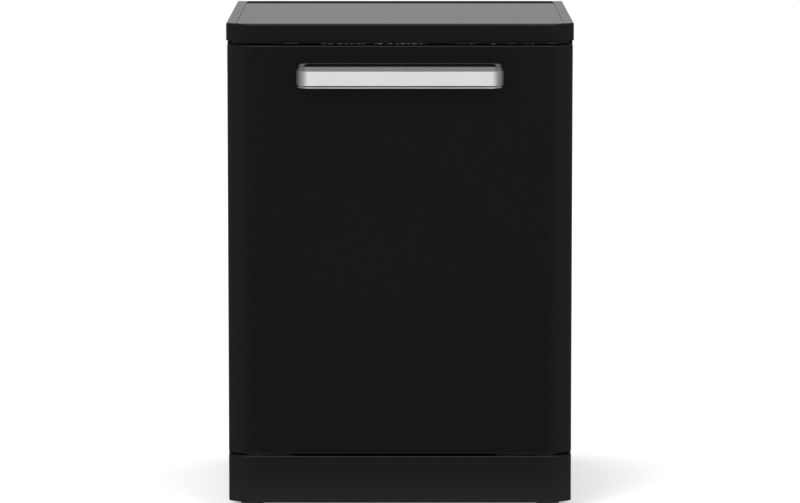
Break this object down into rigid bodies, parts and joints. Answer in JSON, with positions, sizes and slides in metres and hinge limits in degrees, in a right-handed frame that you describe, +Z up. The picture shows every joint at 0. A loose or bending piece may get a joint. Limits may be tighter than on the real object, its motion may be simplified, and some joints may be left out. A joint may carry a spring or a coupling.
{
  "type": "free-standing dishwasher",
  "caption": "Free-standing dishwasher with a drop-down door, bow handle, own worktop, stainless tub, sliding wire baskets and turning spray arms.",
  "frame": {"origin": "middle of the overall width and depth, on the floor", "axes": "+Z up, +X to the right seen from the front, the door faces -Y"},
  "size_m": [0.598, 0.64, 0.845],
  "materials": {
    "gloss_black_enamel": "gloss",
    "satin_black_paint": "satin",
    "black_worktop": "gloss",
    "black_moulding": "satin",
    "black_plinth": "gloss",
    "zinc_steel": "satin",
    "stainless": "satin",
    "seal_rubber": "matte",
    "grey_plastic": "matte",
    "base_plastic": "matte",
    "pump_plastic": "matte",
    "white_plastic": "matte",
    "coated_wire": "satin",
    "wheel_plastic": "matte",
    "fascia_black": "gloss",
    "display_glass": "gloss",
    "circuit_board": "satin",
    "satin_aluminium": "satin",
    "rinse_blue": "satin"
  },
  "bodies": {
    "cabinet": {"worktop_panel": "black_worktop", "worktop_side_trims": "black_worktop", "worktop_rear_strip": "black_moulding", "plinth": "black_plinth", "side_panel_left": "satin_black_paint", "side_panel_right": "satin_black_paint", "rear_panel": "zinc_steel", "front_crossbar": "satin_black_paint", "tub_wrapper": "stainless", "tub_rear_wall": "stainless", "tub_floor": "stainless", "tub_front_frame": "stainless", "tub_gasket": "seal_rubber", "feed_tube": "grey_plastic", "ceiling_sprayer": "grey_plastic", "upper_rails": "zinc_steel", "base_tray": "base_plastic", "rear_feet": "base_plastic", "sump": "grey_plastic", "circulation_pump": "pump_plastic", "drain_pump": "pump_plastic", "water_softener": "white_plastic", "inlet_valve": "white_plastic", "drain_outlet": "white_plastic", "cable_gland": "black_moulding", "cabinet_screws": "zinc_steel", "hinge_brackets": "zinc_steel"},
    "door": {"door_front_panel": "gloss_black_enamel", "door_liner": "stainless", "control_fascia": "fascia_black", "display_window": "display_glass", "control_board": "circuit_board", "door_latch": "zinc_steel", "handle_bar": "satin_aluminium", "handle_ends": "satin_aluminium", "dispenser_body": "grey_plastic", "hinge_arms": "zinc_steel", "door_screws": "stainless"},
    "power_button": {"button_power": "fascia_black"},
    "start_button": {"button_start": "fascia_black"},
    "option_button": {"button_option": "fascia_black"},
    "program_button": {"button_program": "fascia_black"},
    "dispenser_lid": {"dispenser_lid": "grey_plastic"},
    "rinse_aid_cap": {"rinse_aid_cap": "rinse_blue"},
    "salt_cap": {"salt_cap": "white_plastic"},
    "filter": {"filter_cartridge": "grey_plastic"},
    "front_foot_left": {"front_foot_left": "base_plastic"},
    "front_foot_right": {"front_foot_right": "base_plastic"},
    "upper_slides": {"upper_slides": "zinc_steel"},
    "upper_basket": {"upper_basket_frame": "coated_wire"},
    "upper_arm": {"upper_spray_arm": "grey_plastic"},
    "cup_shelf_left": {"cup_shelf_left": "coated_wire"},
    "cup_shelf_right": {"cup_shelf_right": "coated_wire"},
    "lower_basket": {"lower_basket_frame": "coated_wire"},
    "lower_wheels_front": {"lower_wheels_front": "wheel_plastic"},
    "lower_wheels_rear": {"lower_wheels_rear": "wheel_plastic"},
    "tine_rack_centre": {"tine_rack_centre": "coated_wire"},
    "tine_rack_right": {"tine_rack_right": "coated_wire"},
    "cutlery_basket": {"cutlery_basket": "grey_plastic"},
    "lower_arm": {"lower_spray_arm": "grey_plastic"}
  },
  "joints": [
    {"name": "door_hinge", "type": "hinge", "parent": "cabinet", "child": "door", "pos_m": [0, -0.266, 0.1255], "axis": [1, 0, 0], "range_deg": [0, 90]},
    {"name": "upper_slide_travel", "type": "slide", "parent": "cabinet", "child": "upper_slides", "axis": [0, -1, 0], "range_m": [0, 0.226]},
    {"name": "upper_basket_travel", "type": "slide", "parent": "cabinet", "child": "upper_basket", "axis": [0, -1, 0], "range_m": [0, 0.451]},
    {"name": "lower_basket_travel", "type": "slide", "parent": "cabinet", "child": "lower_basket", "axis": [0, -1, 0], "range_m": [0, 0.146]},
    {"name": "upper_arm_spin", "type": "hinge", "parent": "upper_basket", "child": "upper_arm", "pos_m": [0, 0.037, 0.46], "axis": [0, 0, 1], "continuous": true},
    {"name": "lower_arm_spin", "type": "hinge", "parent": "cabinet", "child": "lower_arm", "pos_m": [0, 0.037, 0.167], "axis": [0, 0, 1], "continuous": true},
    {"name": "cup_shelf_left_fold", "type": "hinge", "parent": "upper_basket", "child": "cup_shelf_left", "pos_m": [-0.24, 0.037, 0.54], "axis": [0, 1, 0], "range_deg": [0, 90]},
    {"name": "cup_shelf_right_fold", "type": "hinge", "parent": "upper_basket", "child": "cup_shelf_right", "pos_m": [0.24, 0.037, 0.54], "axis": [0, -1, 0], "range_deg": [0, 90]},
    {"name": "tine_rack_centre_fold", "type": "hinge", "parent": "lower_basket", "child": "tine_rack_centre", "pos_m": [0.06, 0.037, 0.2085], "axis": [0, 1, 0], "range_deg": [0, 85]},
    {"name": "tine_rack_right_fold", "type": "hinge", "parent": "lower_basket", "child": "tine_rack_right", "pos_m": [0.15, 0.037, 0.2085], "axis": [0, 1, 0], "range_deg": [0, 85]},
    {"name": "cutlery_basket_lift", "type": "slide", "parent": "lower_basket", "child": "cutlery_basket", "axis": [0, 0, 1], "range_m": [0, 0.09]},
    {"name": "wheels_front_roll", "type": "hinge", "parent": "lower_basket", "child": "lower_wheels_front", "pos_m": [0, -0.104, 0.1915], "axis": [1, 0, 0], "range_deg": [0, 490]},
    {"name": "wheels_rear_roll", "type": "hinge", "parent": "lower_basket", "child": "lower_wheels_rear", "pos_m": [0, 0.2, 0.1915], "axis": [1, 0, 0], "range_deg": [0, 490]},
    {"name": "dispenser_lid_slide", "type": "slide", "parent": "door", "child": "dispenser_lid", "axis": [0, 0, -1], "range_m": [0, 0.064]},
    {"name": "rinse_aid_cap_turn", "type": "hinge", "parent": "door", "child": "rinse_aid_cap", "pos_m": [0.056, -0.214, 0.4275], "axis": [0, 1, 0], "range_deg": [0, 90]},
    {"name": "salt_cap_turn", "type": "hinge", "parent": "cabinet", "child": "salt_cap", "pos_m": [-0.17, 0.161, 0.15], "axis": [0, 0, 1], "range_deg": [0, 180]},
    {"name": "filter_turn", "type": "hinge", "parent": "cabinet", "child": "filter", "pos_m": [0.11, -0.029, 0.15], "axis": [0, 0, 1], "range_deg": [0, 90]},
    {"name": "front_foot_left_screw", "type": "slide", "parent": "cabinet", "child": "front_foot_left", "axis": [0, 0, -1], "range_m": [0, 0.02]},
    {"name": "front_foot_right_screw", "type": "slide", "parent": "cabinet", "child": "front_foot_right", "axis": [0, 0, -1], "range_m": [0, 0.02]},
    {"name": "power_button_press", "type": "slide", "parent": "door", "child": "power_button", "axis": [0, 0, -1], "range_m": [0, 0.001], "stiffness_N_per_m": 300, "springref_m": -0.001},
    {"name": "start_button_press", "type": "slide", "parent": "door", "child": "start_button", "axis": [0, 0, -1], "range_m": [0, 0.001], "stiffness_N_per_m": 300, "springref_m": -0.001},
    {"name": "option_button_press", "type": "slide", "parent": "door", "child": "option_button", "axis": [0, 0, -1], "range_m": [0, 0.001], "stiffness_N_per_m": 300, "springref_m": -0.001},
    {"name": "program_button_press", "type": "slide", "parent": "door", "child": "program_button", "axis": [0, 0, -1], "range_m": [0, 0.001], "stiffness_N_per_m": 300, "springref_m": -0.001}
  ],
  "couplings": [
    {"joint": "upper_basket_travel", "follows": "door_hinge", "m_per_rad": 0.28648},
    {"joint": "upper_slide_travel", "follows": "door_hinge", "m_per_rad": 0.14324},
    {"joint": "lower_basket_travel", "follows": "door_hinge", "m_per_rad": 0.09231},
    {"joint": "wheels_front_roll", "follows": "door_hinge", "ratio": 5.43},
    {"joint": "wheels_rear_roll", "follows": "door_hinge", "ratio": 5.43}
  ]
}
